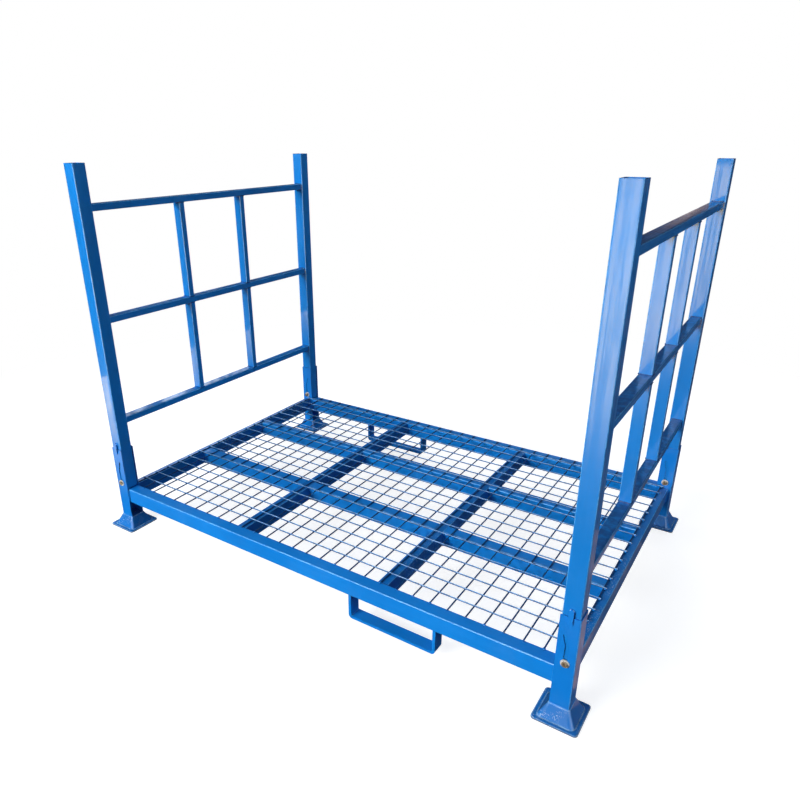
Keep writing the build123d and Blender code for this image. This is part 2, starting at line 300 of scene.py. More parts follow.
@dataclass(frozen=True)
class PaintFinish:
    """Sprayed gloss enamel on steel: tone drift, orange peel, dust and scuffs, with painted light: highlights
    on bends and wire tops, glints, and shade in crevices, at the sole and on rail tops.
    """

    name: str
    colour: Tone
    deep: Tone
    drift: Grain = Grain(3.2, 4.0, 0.6, (0.32, 0.70))
    # painted highlight: a pale tone on the bends, patchy, and faint on edges that face down
    edge: Tone = (0.17, 0.55, 0.98)
    edge_width: float = 1.6 * MM
    edge_share: float = 0.85
    edge_span: Span = (0.995, 0.90)  # how far a compact piece bends, as the cosine
    corner_span: Span = (0.985, 0.86)  # how far a tube's skin turns from its axes
    edge_wear: Grain = Grain(90.0, 5.0, 0.7, (0.35, 0.62))
    edge_least: float = 0.35
    edge_tilt: Span = (-0.60, 0.35)  # edges that face down stay dark
    edge_below: float = 0.05
    dust: Tone = (0.34, 0.42, 0.50)
    dust_share: float = 0.05
    film: Grain = Grain(7.5, 6.0, 0.7, (0.46, 0.80))
    # painted shade: a dark tone laid where ambient occlusion finds crevices and joints; the sole's painted
    # shadow uses it too
    crevice: Tone = (0.002, 0.020, 0.085)
    crevice_reach: float = 9.0 * MM
    crevice_span: Span = (0.62, 0.25)
    crevice_share: float = 0.75
    # pale specks: spots and scuffs on the feet, painted glints on the beams
    specks: float = 0.0
    speck_zones: float = 38.0
    zone_span: Span = (0.52, 0.68)
    speck_size: float = 2.4 * MM
    speck_span: Span = (0.57, 0.66)
    speck_tone: Tone = (0.45, 0.62, 0.80)
    # painted light on upward faces: a highlight on wire tops, shade on rail tops
    top_rub: float = 0.0
    rub_tone: Tone = (0.32, 0.60, 1.0)
    rub_tilt: Span = (0.45, 0.85)
    rub_wear: Grain = Grain(60.0, 3.0, 0.5, (0.30, 0.60))
    rub_least: float = 0.45
    # painted shadow: a dark line along the bottom, where the piece stands on the floor
    sole: float = 0.0
    sole_soft: Span = (1.25, 0.75)  # where the sole's shade ends and is full, in soles
    sole_share: float = 0.85
    roughness: Span = (0.30, 0.44)
    sheen: Grain = Grain(14.0, 4.0, 0.5, (0.30, 0.75))
    undercoat: float = 0.25
    coat: float = 0.6
    coat_roughness: float = 0.045
    draw_stretch: float = 0.035
    streak: float = 0.0
    streaks: Grain = Grain(95.0, 5.0, 0.7, (0.38, 0.58))
    soft_bend: float = 0.0
    skin_wave: float = 0.60 * MM
    tube_waves: Grain = Grain(85.0, 2.0)
    piece_waves: Grain = Grain(30.0, 2.0)
    peel: float = 0.10
    peel_depth: float = 0.15 * MM
    peel_grain: Grain = Grain(650.0, 2.0)

    def build(self, drawn: Axis | None = None) -> Material:
        """Makes the material.

        Args:
            drawn: the axis along which the steel under the paint was drawn, if it is a tube.

        Returns:
            A material whose detail lies in object space.
        """
        suffix = f"_{drawn.word}" if drawn else ""
        bench = NodeBench(bpy.data.materials.new(self.name + suffix))
        shader = bench.add("BsdfPrincipled", Metallic=0.0, Specular_IOR_Level=self.undercoat,
                           Coat_Weight=self.coat, Coat_Roughness=self.coat_roughness)
        bench.link(self._colour(bench, drawn), shader.inputs["Base Color"])
        if drawn and self.streak:
            dullest = self.coat * (1.0 - self.streak)
            shine = bench.patches(self.streaks, (dullest, self.coat), self._along(bench, drawn))
            bench.link(shine, shader.inputs["Coat Weight"])
        bench.link(bench.patches(self.sheen, self.roughness), shader.inputs["Roughness"])
        bench.link(self._relief(bench, drawn), shader.inputs["Normal"])
        return bench.end_in(shader.outputs[0])

    def _colour(self, bench: NodeBench, drawn: Axis | None) -> Socket:
        """Paint colour with its drift, dust and specks, and painted light: highlights on bends and tops,
        shade in crevices, on tops and at the sole.

        Args:
            bench: bench of the material.
            drawn: axis of the tube, if the piece is one.

        Returns:
            The colour.
        """
        colour = bench.mix(bench.patches(self.drift), self.deep, self.colour)
        normal = bench.add("NewGeometry").outputs["Normal"]
        upward = bench.parts(normal)["Z"]
        # painted highlight on the bends, patchy, and faint on edges that face down
        edge = self._bends(bench, normal, drawn)
        edge = bench.times(edge, bench.patches(self.edge_wear, (self.edge_least, 1.0)))
        edge = bench.times(edge, bench.remap(upward, self.edge_tilt, (self.edge_below, 1.0)))
        colour = bench.mix(edge, colour, self.edge)
        # painted shade in crevices and joints, from ambient occlusion
        shelter = bench.add("AmbientOcclusion", samples=4, Distance=self.crevice_reach).outputs["AO"]
        crevice_shade_mask = bench.remap(shelter, self.crevice_span, (0.0, self.crevice_share))
        colour = bench.mix(crevice_shade_mask, colour, self.crevice)
        colour = bench.mix(bench.patches(self.film, (0.0, self.dust_share)), colour, self.dust)
        # pale specks: spots and scuffs on the feet, painted glints on the beams
        if self.specks:
            spots = bench.patches(Grain(1.0 / self.speck_size, 2.0, 0.4, self.speck_span))
            zones = bench.patches(Grain(self.speck_zones, span=self.zone_span), (0.0, self.specks))
            colour = bench.mix(bench.times(spots, zones), colour, self.speck_tone)
        # painted light on upward faces: a highlight on wire tops, shade on rail tops
        if self.top_rub:
            level = bench.remap(upward, self.rub_tilt, (0.0, self.top_rub))
            patchy = bench.patches(self.rub_wear, (self.rub_least, 1.0))
            colour = bench.mix(bench.times(level, patchy), colour, self.rub_tone)
        # painted shadow along the bottom, where the foot stands on the floor
        if self.sole:
            ends, full = self.sole_soft
            height = bench.parts(bench.place)["Z"]
            low = bench.remap(height, (ends * self.sole, full * self.sole), (0.0, self.sole_share))
            colour = bench.mix(low, colour, self.crevice)
        return colour

    def _bends(self, bench: NodeBench, normal: Socket, drawn: Axis | None) -> Socket:
        """Finds the bends of the steel, where a highlight is painted.

        Args:
            bench: bench of the material.
            normal: the face's own normal.
            drawn: axis of the tube, if the piece is one.

        Returns:
            Share of painted highlight: on a tube's rounded corners, which face along no axis, or near
            the bends of a compact piece.
        """
        if drawn:
            turns = bench.parts(bench.coords("Normal"))
            x, y, z = (bench.feed(bench.add("Math", operation="ABSOLUTE"), turns[name])[0] for name in "XYZ")
            return bench.remap(bench.larger(bench.larger(x, y), z), self.corner_span, (0.0, self.edge_share))
        rounded = bench.add("Bevel", samples=4, Radius=self.edge_width).outputs[0]
        bend = bench.feed(bench.add("VectorMath", operation="DOT_PRODUCT"), rounded, normal)
        return bench.remap(bend["Value"], self.edge_span, (0.0, self.edge_share))

    def _along(self, bench: NodeBench, drawn: Axis | None) -> Socket:
        """Coordinates drawn out along the tube, if the piece is one."""
        return bench.stretched(tuple(self.draw_stretch if axis is drawn else 1.0 for axis in Axis))

    def _relief(self, bench: NodeBench, drawn: Axis | None) -> Socket:
        """Orange peel over the long, shallow waves of the steel's skin.

        Args:
            bench: bench of the material.
            drawn: axis of the tube, if the piece is one.

        Returns:
            The normal of the painted skin.
        """
        waves = self.tube_waves if drawn else self.piece_waves
        depth = self.skin_wave if drawn else 0.5 * self.skin_wave
        under = None
        if self.soft_bend:
            under = bench.add("Bevel", samples=8, Radius=self.soft_bend).outputs[0]
        skin = bench.bump(bench.noise(waves, self._along(bench, drawn)), 1.0, depth, under)
        return bench.bump(bench.noise(self.peel_grain), self.peel, self.peel_depth, skin)


@dataclass(frozen=True)
class ZincFinish:
    """Zinc plated fastener steel with passivated tints and fine turning marks."""

    name: str
    bright: Tone
    tint: Tone
    roughness: Span
    metal: float
    clouds: Grain = Grain(160.0, 4.0, 0.6, (0.35, 0.68))
    grime: Tone = (0.10, 0.085, 0.06)
    grime_share: float = 0.5
    grime_grain: Grain = Grain(520.0, 3.0, 0.5, (0.55, 0.75))
    ring_scale: float = 620.0
    ring_waver: float = 1.5
    ring_strength: float = 0.12
    ring_depth: float = 0.05 * MM

    def build(self) -> Material:
        """Makes the material.

        Returns:
            A material whose detail lies in object space.
        """
        bench = NodeBench(bpy.data.materials.new(self.name))
        shader = bench.add("BsdfPrincipled", Metallic=self.metal)
        clouds = bench.patches(self.clouds)
        colour = bench.mix(clouds, self.bright, self.tint)
        dirt = bench.patches(self.grime_grain, (0.0, self.grime_share))
        bench.link(bench.mix(dirt, colour, self.grime), shader.inputs["Base Color"])
        bench.link(bench.remap(clouds, FULL, self.roughness), shader.inputs["Roughness"])
        rings = bench.add("TexWave", wave_type="RINGS", rings_direction="Y", Scale=self.ring_scale,
                          Distortion=self.ring_waver)
        bench.link(bench.place, rings.inputs["Vector"])
        marks = bench.bump(rings.outputs["Fac"], self.ring_strength, self.ring_depth)
        bench.link(marks, shader.inputs["Normal"])
        return bench.end_in(shader.outputs[0])


@dataclass
class PaintShop:
    """Every finish of the rack, by the record's slot name, and those that single nodes have."""

    finishes: tuple[PaintFinish | ZincFinish, ...] = (
        PaintFinish("base_paint", (0.006, 0.245, 0.78), (0.004, 0.205, 0.68)),
        PaintFinish(
            "wire_paint", (0.004, 0.060, 0.20), (0.003, 0.042, 0.15), dust_share=0.10,
            edge_width=0.5 * MM, peel=0.16, coat=0.9),
        PaintFinish("stub_paint", (0.004, 0.220, 0.74), (0.003, 0.185, 0.64)),
        # pale bends of the foot are painted highlights along its ridges and round the top of its slopes; its
        # dark sole line is a painted shadow
        PaintFinish(
            "foot_paint", (0.004, 0.190, 0.64), (0.003, 0.145, 0.51), dust_share=0.10, specks=0.9,
            speck_zones=22.0, roughness=(0.16, 0.34), coat=0.9, edge=(0.42, 0.74, 1.0),
            edge_width=5.0 * MM, edge_share=1.0, edge_span=(0.998, 0.955), sole=2.6 * MM,
            soft_bend=9.0 * MM),
        PaintFinish("frame_paint", (0.004, 0.222, 0.70), (0.003, 0.187, 0.60), coat=0.85, streak=0.65),
        ZincFinish("bolt_zinc", (0.46, 0.37, 0.26), (0.15, 0.11, 0.07), (0.32, 0.50), 0.6),
        ZincFinish("washer_zinc", (0.80, 0.80, 0.79), (0.62, 0.61, 0.58), (0.30, 0.50), 0.25),
    )
    # painted shade: the end frames' weld beads are darker, as the shade in the joints' undercuts
    seam: PaintFinish = PaintFinish("seam_paint", (0.003, 0.085, 0.31), (0.002, 0.050, 0.20), edge_share=0.2)
    # pale specks on the end beams and cross bearers are painted glints
    beam: PaintFinish = PaintFinish(
        "beam_paint_specked", (0.004, 0.180, 0.60), (0.003, 0.140, 0.50), specks=0.35, speck_zones=4.0,
        speck_size=4.5 * MM)
    # pale tops of the long wires are a painted highlight
    long_wire: PaintFinish = PaintFinish(
        "wire_paint_rubbed", (0.005, 0.075, 0.25), (0.003, 0.055, 0.19), dust_share=0.10,
        edge_width=0.5 * MM, peel=0.16, coat=0.7, top_rub=0.9)
    # dark tops of the right rails are painted shade
    dull_rail: PaintFinish = PaintFinish(
        "rail_paint_dulled", (0.004, 0.222, 0.70), (0.003, 0.187, 0.60), coat=0.85, streak=0.65,
        top_rub=0.95, rub_tone=(0.004, 0.060, 0.22))
    # pale rounded edges of the key lugs are a painted highlight
    lug: PaintFinish = PaintFinish(
        "lug_paint", (0.005, 0.230, 0.76), (0.004, 0.190, 0.66), edge=(0.30, 0.66, 1.0),
        edge_width=2.2 * MM, edge_share=1.0)
    slimness: float = 3.0  # a node at least this many times longer than wide is drawn tube
    materials: dict[str, Material] = field(default_factory=dict)

    def open(self) -> None:
        """Builds the material of each slot, for welds and compact pieces."""
        for finish in (*self.finishes, self.seam):
            self.materials[finish.name] = finish.build()

    def own_finishes(self) -> dict[str, PaintFinish]:
        """Finishes of the nodes that differ from their slot.

        Returns:
            The finish by the node's name.
        """
        own = {"mesh_long_wires": self.long_wire}
        for side in Side:
            own[f"{side.word}_end_beam"] = self.beam
            own[f"{side.word}_cross_bearer"] = self.beam
            for end in End:
                own[f"{side.word}_{end.word}_key_lug"] = self.lug
        for level in ("top", "middle", "bottom"):
            own[f"right_{level}_rail"] = self.dull_rail
        return own

    def coat_nodes(self, record: dict) -> None:
        """Gives every CAD node the finish of its slot, or its own.

        Args:
            record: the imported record, with its subparts.
        """
        by_slot = {finish.name: finish for finish in self.finishes}
        by_node = self.own_finishes()
        for row in record["subparts"]:
            node = row["node"]
            finish = by_node.get(node, by_slot[row["material_slot"]])
            piece = frame["nodes"][node]
            piece.data.materials.clear()
            piece.data.materials.append(self._coat(finish, self._drawn_axis(node)))
            LOG.info("%s: %s", node, finish.name)

    def _coat(self, finish: PaintFinish | ZincFinish, drawn: Axis | None) -> Material:
        """Material of a finish, made when first asked for.

        Args:
            finish: the finish.
            drawn: axis of the tube, if the piece is one.

        Returns:
            The finish's material for that run of tube.
        """
        compact = drawn is None or isinstance(finish, ZincFinish)
        key = finish.name if compact else f"{finish.name}_{drawn.word}"
        if key not in self.materials:
            self.materials[key] = finish.build() if compact else finish.build(drawn)
        return self.materials[key]

    def _drawn_axis(self, node: str) -> Axis | None:
        """Tells a drawn tube from a compact piece.

        Args:
            node: name of the node.

        Returns:
            Axis of a slim node's tube, and None for a compact piece.
        """
        low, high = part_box(node)
        sides = [high[axis.value] - low[axis.value] for axis in Axis]
        longest = max(Axis, key=lambda axis: sides[axis.value])
        second = sorted(sides)[1]
        return longest if sides[longest.value] > self.slimness * second else None


def round_loop(centre: Vector, u: Vector, v: Vector, half: tuple[float, float],
               corner: float, steps: int = 4) -> list[Vector]:
    """Outline of a rounded rectangle.

    Args:
        centre: middle of the rectangle.
        u: unit vector of its first side.
        v: unit vector of its second side.
        half: half sizes along u and v.
        corner: corner radius.
        steps: points on each quarter arc.

    Returns:
        The points of the outline, in order, without a closing repeat.
    """
    points = []
    quarter = math.pi / 2
    for index, (su, sv) in enumerate(((1, 1), (-1, 1), (-1, -1), (1, -1))):
        hub = centre + u * su * (half[0] - corner) + v * sv * (half[1] - corner)
        for step in range(steps + 1):
            angle = quarter * (index + step / steps)
            points.append(hub + (u * math.cos(angle) + v * math.sin(angle)) * corner)
    return points


def tube_end(node: str, axis: Axis, high: bool, corner: float = 3.0 * MM) -> list[Vector]:
    """Outline of one end of a tube, taken from its CAD box.

    Args:
        node: the tube's node.
        axis: direction in which the tube runs.
        high: True for the end with the higher coordinate.
        corner: corner radius of the tube.

    Returns:
        The points of the outline.
    """
    low_corner, high_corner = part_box(node)
    centre = (low_corner + high_corner) / 2
    size = high_corner - low_corner
    centre[axis.value] = (high_corner if high else low_corner)[axis.value]
    first, second = [index for index in range(3) if index != axis.value]
    u, v = (Vector([float(index == side) for index in range(3)]) for side in (first, second))
    return round_loop(centre, u, v, (size[first] / 2, size[second] / 2), corner)


@dataclass
class WeldRun:
    """Collects weld beads and tacks on one body and makes one painted piece of them."""

    name: str
    body: str
    slot: str
    seed: int
    ripple: float = 3.4 * MM
    pace: float = 1.2 * MM
    sides: int = 8
    swell_least: float = 0.86
    swell_rise: float = 0.16
    swell_play: float = 0.05
    tip: float = 0.35  # share of the width at an open end, and what each step adds
    tip_rise: float = 0.3
    tack_rows: int = 4
    tack_columns: int = 8
    tack_play: Span = (0.92, 1.06)
    points: list[Vector] = field(default_factory=list)
    faces: list[tuple[int, ...]] = field(default_factory=list)

    def __post_init__(self) -> None:
        """Starts the run's own random draws."""
        self.dice = random.Random(self.seed)

    def bead(self, path: list[Vector], radius: float, closed: bool = False) -> None:
        """Lays one rippled bead along a path.

        Args:
            path: corner points of the bead's centre line.
            radius: half the bead's width.
            closed: True if the bead ends where it starts.
        """
        line = self._even(path, closed)
        count = len(line)
        first = len(self.points)
        phase = self.dice.uniform(0, math.pi)
        for index, point in enumerate(line):
            ahead = line[(index + 1) % count] if closed or index < count - 1 else point
            behind = line[index - 1] if closed or index else point
            run = (ahead - behind).normalized()
            across = run.orthogonal().normalized()
            lift = run.cross(across)
            wave = abs(math.sin(math.pi * index * self.pace / self.ripple + phase))
            swell = self.swell_least + self.swell_rise * wave
            swell += self.dice.uniform(-self.swell_play, self.swell_play)
            if not closed:
                nearest = min(index, count - 1 - index)
                swell *= min(1.0, self.tip + self.tip_rise * nearest)
            for side in range(self.sides):
                angle = 2 * math.pi * side / self.sides
                offset = across * math.cos(angle) + lift * math.sin(angle)
                self.points.append(point + offset * radius * swell)
        self._skin(first, count, closed)

    def tack(self, centre: Vector, width: float, height: float, length: float = 0.0) -> None:
        """Adds one rounded blob of weld, upright on a level face.

        Args:
            centre: middle of the blob.
            width: across X.
            height: along Z.
            length: along Y; the width if it is 0.
        """
        length = length or width
        rows, columns = self.tack_rows, self.tack_columns
        first = len(self.points)
        turn = self.dice.uniform(0, math.pi)
        for row in range(1, rows):
            polar = math.pi * row / rows
            for column in range(columns):
                angle = 2 * math.pi * column / columns + turn
                rough = self.dice.uniform(*self.tack_play)
                self.points.append(centre + Vector((
                    math.sin(polar) * math.cos(angle) * width / 2 * rough,
                    math.sin(polar) * math.sin(angle) * length / 2 * rough,
                    math.cos(polar) * height / 2)))
        top, bottom = len(self.points), len(self.points) + 1
        self.points.append(centre + Vector((0, 0, height / 2)))
        self.points.append(centre - Vector((0, 0, height / 2)))
        for column in range(columns):
            after = (column + 1) % columns
            self.faces.append((top, first + column, first + after))
            for row in range(rows - 2):
                low = first + row * columns
                self.faces.append((low + column, low + columns + column, low + columns + after, low + after))
            last = first + (rows - 2) * columns
            self.faces.append((bottom, last + after, last + column))

    def build(self, material: Material) -> None:
        """Makes the piece and puts it on its body.

        Args:
            material: its finish.
        """
        points = tuple(tuple(point) for point in self.points)
        piece = new_piece(self.name, points, self.faces, material)
        piece.data.shade_smooth()
        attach(piece, self.body)

    def _even(self, path: list[Vector], closed: bool) -> list[Vector]:
        """Spreads points at an even pace along a path.

        Args:
            path: corner points.
            closed: True if the path ends where it starts.

        Returns:
            The even points.
        """
        corners = path + path[:1] if closed else path
        line = []
        carry = 0.0
        for start, finish in zip(corners, corners[1:]):
            length = (finish - start).length
            reach = carry
            while reach < length:
                line.append(start.lerp(finish, reach / length))
                reach += self.pace
            carry = reach - length
        if not closed:
            line.append(path[-1].copy())
        return line

    def _skin(self, first: int, count: int, closed: bool) -> None:
        """Adds the faces between the rings of one bead, with caps on an open one.

        Args:
            first: number of the bead's first point.
            count: how many rings it has.
            closed: True if it ends where it starts.
        """
        spans = count if closed else count - 1
        for ring in range(spans):
            here = first + ring * self.sides
            there = first + ((ring + 1) % count) * self.sides
            for side in range(self.sides):
                after = (side + 1) % self.sides
                self.faces.append((here + side, there + side, there + after, here + after))
        if not closed:
            last = first + (count - 1) * self.sides
            self.faces.append(tuple(first + side for side in range(self.sides)))
            self.faces.append(tuple(last + side for side in reversed(range(self.sides))))


# ---------------------------------------------------------------- sub-assemblies
@dataclass
class BaseFrame:
    """Welded base: beams, bearers, stubs, feet and fork guides."""

    bead: float = 2.1 * MM
    thin_bead: float = 0.8 * MM
    foot_bead: float = 1.5 * MM
    corner: float = 2.0 * MM  # a weld ends this far from a tube's top or underside
    shoulder: float = 3.0 * MM
    least_width: float = 20.0 * MM
    beam_setback: float = 1.3 * MM  # weld line of a side beam, outside its face
    stub_bend: float = 3.0 * MM
    guide_bar: float = 8.0 * MM
    guide_inset: float = 2.0 * MM
    run: WeldRun = field(default_factory=lambda: WeldRun("base_welds", "base", "base_paint", seed=11))

    def bearer_welds(self) -> None:
        """Welds round both ends of every bearer and end beam."""
        for side in Side:
            self._tube_welds(f"{side.word}_cross_bearer", Axis.Y)
            self._tube_welds(f"{side.word}_end_beam", Axis.Y)
        for row in End:
            for place in ("left", "middle", "right"):
                self._tube_welds(f"{row.word}_inner_bearer_{place}", Axis.X)

    def _tube_welds(self, node: str, axis: Axis) -> None:
        """Adds a bead down, under and up each end of a tube, and a thin one across its top.

        Args:
            node: the tube's node.
            axis: direction in which the tube runs.
        """
        for high in (False, True):
            outline = tube_end(node, axis, high)
            top = max(point.z for point in outline) - self.corner
            sunk = [point for point in outline if point.z < top]
            level = [point for point in outline if point.z >= top]
            split = 0
            for index, point in enumerate(sunk):
                before = sunk[index - 1]
                wide = (point - before).length > self.least_width
                if wide and min(point.z, before.z) > top - self.shoulder:
                    split = index
                    break
            self.run.bead(sunk[split:] + sunk[:split], self.bead)
            left = min(level, key=lambda point: (point.x, point.y))
            right = max(level, key=lambda point: (point.x, point.y))
            self.run.bead([left, right], self.thin_bead)

    def side_beam_welds(self) -> None:
        """Upright welds where a side beam enters its stubs."""
        for end in End:
            low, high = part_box(f"{end.word}_side_beam")
            outer = low.y if end is End.FRONT else high.y
            for side in Side:
                stub_low, stub_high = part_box(f"{end.word}_{side.word}_stub")
                mouth = stub_high.x if side is Side.LEFT else stub_low.x
                y = outer + end.value * self.beam_setback
                top = Vector((mouth, y, high.z - self.corner))
                foot = Vector((mouth, y, low.z + self.corner))
                self.run.bead([top, foot], self.bead)

    def foot_welds(self) -> None:
        """Weld round the three closed sides of each stub where it stands on its foot."""
        for end in End:
            for side in Side:
                low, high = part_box(f"{end.word}_{side.word}_stub")
                mouth = high.x if side is Side.LEFT else low.x
                web = low.x if side is Side.LEFT else high.x
                bend = self.stub_bend
                turn = web - bend * side.value
                path = ((mouth, low.y), (turn, low.y), (web, low.y + bend),
                        (web, high.y - bend), (turn, high.y), (mouth, high.y))
                self.run.bead([Vector((x, y, low.z)) for x, y in path], self.foot_bead)

    def guide_welds(self) -> None:
        """Welds along both faces of each fork guide leg, under the side beam."""
        for end in End:
            low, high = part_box(f"{end.word}_fork_guide")
            for x in (low.x, low.x + self.guide_bar, high.x - self.guide_bar, high.x):
                start = Vector((x, low.y + self.guide_inset, high.z))
                finish = Vector((x, high.y - self.guide_inset, high.z))
                self.run.bead([start, finish], self.bead)

    def build(self, shop: PaintShop) -> None:
        """Adds the welds of the base.

        Args:
            shop: the finishes.
        """
        self.bearer_welds()
        self.side_beam_welds()
        self.foot_welds()
        self.guide_welds()
        self.run.build(shop.materials["base_paint"])


@dataclass
class MeshDeck:
    """Spot welds of the wire mesh and the tacks that hold it to the base frame."""

    pitch: float = 48.0 * MM
    nugget: float = 4.6 * MM
    nugget_height: float = WIRE_DIAMETER * 0.8
    nugget_play: Span = (0.9, 1.1)
    tack_width: float = 6.0 * MM
    tack_height: float = WIRE_DIAMETER * 0.98
    tack_length: float = 1.2  # in its own widths
    heavy: float = 1.25  # each third tack is heavy, the others are light
    light: float = 0.8
    end_height: float = WIRE_DIAMETER * 1.9
    end_play: Span = (0.85, 1.15)
    spots: WeldRun = field(default_factory=lambda: WeldRun("mesh_spot_welds", "base", "wire_paint", seed=23))
    tacks: WeldRun = field(default_factory=lambda: WeldRun("mesh_edge_tacks", "base", "base_paint", seed=29))

    def _row(self, node: str, axis: Axis) -> list[float]:
        """Finds the parallel wires of a node.

        Args:
            node: the wires' node.
            axis: direction in which one wire follows the other.

        Returns:
            The middle of each wire.
        """
        low, high = (corner[axis.value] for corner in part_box(node))
        count = round((high - low - WIRE_DIAMETER) / self.pitch) + 1
        return [low + WIRE_DIAMETER / 2 + index * self.pitch for index in range(count)]

    def spot_welds(self) -> None:
        """A pressed nugget at every crossing."""
        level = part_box("mesh_long_wires")[0].z
        along = self._row("mesh_long_wires", Axis.Y)
        for x in self._row("mesh_cross_wires", Axis.X):
            for y in along:
                width = self.nugget * self.spots.dice.uniform(*self.nugget_play)
                self.spots.tack(Vector((x, y, level)), width, self.nugget_height)

    def edge_tacks(self) -> None:
        """Tacks at the wires' ends, on the beams."""
        low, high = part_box("mesh_cross_wires")
        height = self.tack_height
        for index, x in enumerate(self._row("mesh_cross_wires", Axis.X)[1:-1]):
            weight = self.heavy if index % 3 == 1 else self.light
            width = self.tack_width * weight * self.tacks.dice.uniform(*self.nugget_play)
            for y in (low.y + WIRE_DIAMETER / 2, high.y - WIRE_DIAMETER / 2):
                middle = Vector((x, y, low.z + height / 2))
                self.tacks.tack(middle, width, height, width * self.tack_length)
        low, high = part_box("mesh_long_wires")
        for y in self._row("mesh_long_wires", Axis.Y):
            width = self.tack_width * self.tacks.dice.uniform(*self.end_play)
            for x in (low.x + WIRE_DIAMETER, high.x - WIRE_DIAMETER):
                self.tacks.tack(Vector((x, y, low.z)), width, self.end_height, width)

    def build(self, shop: PaintShop) -> None:
        """Adds the welds of the mesh.

        Args:
            shop: the finishes.
        """
        self.spot_welds()
        self.spots.build(shop.materials["wire_paint"])
        self.edge_tacks()
        self.tacks.build(shop.materials["base_paint"])


@dataclass
class EndFrame:
    """Welded end frame of one side."""

    side: Side
    bead: float = 1.7 * MM
    lug_bead: float = 0.9 * MM
    lug_run: float = 2.6  # how far down a lug's weld ends, in half widths of the lug
    first_seed: int = 41

    def __post_init__(self) -> None:
        """Starts the frame's weld run."""
        body = f"{self.side.word}_end_frame"
        self.run = WeldRun(f"{body}_welds", body, "frame_paint", self.first_seed + self.side.value)

    def rail_welds(self) -> None:
        """Beads round both ends of the three rails."""
        for level in ("top", "middle", "bottom"):
            for high in (False, True):
                outline = tube_end(f"{self.side.word}_{level}_rail", Axis.Y, high)
                self.run.bead(outline, self.bead, closed=True)

    def upright_welds(self) -> None:
        """Beads round both ends of the four uprights."""
        for end in End:
            for tier in ("upper", "lower"):
                node = f"{self.side.word}_{end.word}_{tier}_upright"
                for high in (False, True):
                    self.run.bead(tube_end(node, Axis.Z, high), self.bead, closed=True)

    def lug_welds(self) -> None:
        """Short beads down both edges of each key lug's root."""
        for end in End:
            low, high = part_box(f"{self.side.word}_{end.word}_key_lug")
            post_low, post_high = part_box(f"{self.side.word}_{end.word}_post")
            face = post_low.y if end is End.FRONT else post_high.y
            radius = (high.x - low.x) / 2
            for x in (low.x, high.x):
                start = Vector((x, face, high.z - radius))
                finish = Vector((x, face, high.z - self.lug_run * radius))
                self.run.bead([start, finish], self.lug_bead)

    def build(self, shop: PaintShop) -> None:
        """Adds the welds of this end frame.

        Args:
            shop: the finishes.
        """
        self.rail_welds()
        self.upright_welds()
        self.lug_welds()
        # the beads take the darker seam finish, painted shade along the joints
        self.run.build(shop.materials["seam_paint"])


@dataclass
class EdgeRounding:
    """Small rounded edges on sheared, bent and pressed CAD pieces."""

    widths: dict[str, float] = field(default_factory=lambda: {
        "foot": 1.5 * MM,
        "fork_guide": 1.2 * MM,
        "stub": 0.5 * MM,
        "key_lug": 1.4 * MM,
        "washers": 0.3 * MM,
        "pivot_bolts": 0.35 * MM,
        "lock_nuts": 0.35 * MM,
    })
    segments: int = 3
    least_bend: float = math.radians(28)

    def apply(self) -> None:
        """Puts a bevel modifier on each node whose name ends in a listed word."""
        for name, piece in frame["nodes"].items():
            for word, width in self.widths.items():
                if name.endswith(word):
                    bevel = piece.modifiers.new("rounding", "BEVEL")
                    bevel.width = width
                    bevel.segments = self.segments
                    bevel.limit_method = "ANGLE"
                    bevel.angle_limit = self.least_bend
                    bevel.use_clamp_overlap = True


# ---------------------------------------------------------------- studio
DARK: Tone = (0.018, 0.022, 0.034)
SOIL: Tone = (0.085, 0.064, 0.055)
COPPER: Tone = (0.62, 0.38, 0.24)
PALE: Tone = (7.8, 6.0, 2.7)
PALE_SHADE: Tone = (5.8, 4.8, 2.4)
LEFT_PALE: Tone = (6.0, 4.6, 1.9)
LEFT_SHADE: Tone = (4.4, 3.7, 2.0)
CREAM: Tone = (1.05, 0.80, 0.74)
SKY_WHITE: Tone = (3.4, 3.8, 4.2)
GLINT: Tone = (5.0, 5.6, 6.2)
BRIGHT: Tone = (9.0, 10.0, 11.0)
SUN: Tone = (1.0, 0.99, 0.96)
SKY: Tone = (0.90, 0.95, 1.0)
DAYLIGHT: Tone = (0.94, 0.97, 1.0)
ON_FLOOR: Span = (4.0 * MM, 4.0 * MM)  # both edges of a cloth that lies on the floor


def level_card(x: Span, y: Span, z: Span) -> tuple[Place, ...]:
    """Corners of a rectangle level along X, its two Y edges at their own heights."""
    return ((x[0], y[0], z[0]), (x[1], y[0], z[0]), (x[1], y[1], z[1]), (x[0], y[1], z[1]))


def upright_card(x: float, y: Span, z: Span) -> tuple[Place, ...]:
    """Corners of an upright rectangle that faces along X."""
    return ((x, y[0], z[0]), (x, y[1], z[0]), (x, y[1], z[1]), (x, y[0], z[1]))


@dataclass(frozen=True)
class SoftLamp:
    """One rectangular soft lamp that looks at a point, unseen by the camera and in gloss."""

    name: str
    place: Place
    target: Place
    size: Span
    power: float
    colour: Tone

    def build(self) -> None:
        """Makes the lamp."""
        lamp = bpy.data.lights.new(self.name, "AREA")
        lamp.shape = "RECTANGLE"
        lamp.size, lamp.size_y = self.size
        lamp.energy = self.power
        lamp.color = self.colour
        holder = bpy.data.objects.new(self.name, lamp)
        aim = Vector(self.target) - Vector(self.place)
        holder.location = self.place
        holder.rotation_euler = aim.to_track_quat("-Z", "Y").to_euler()
        holder.visible_camera = False
        holder.visible_glossy = False
        bpy.context.scene.collection.objects.link(holder)
        LOG.info("%s: lamp", self.name)


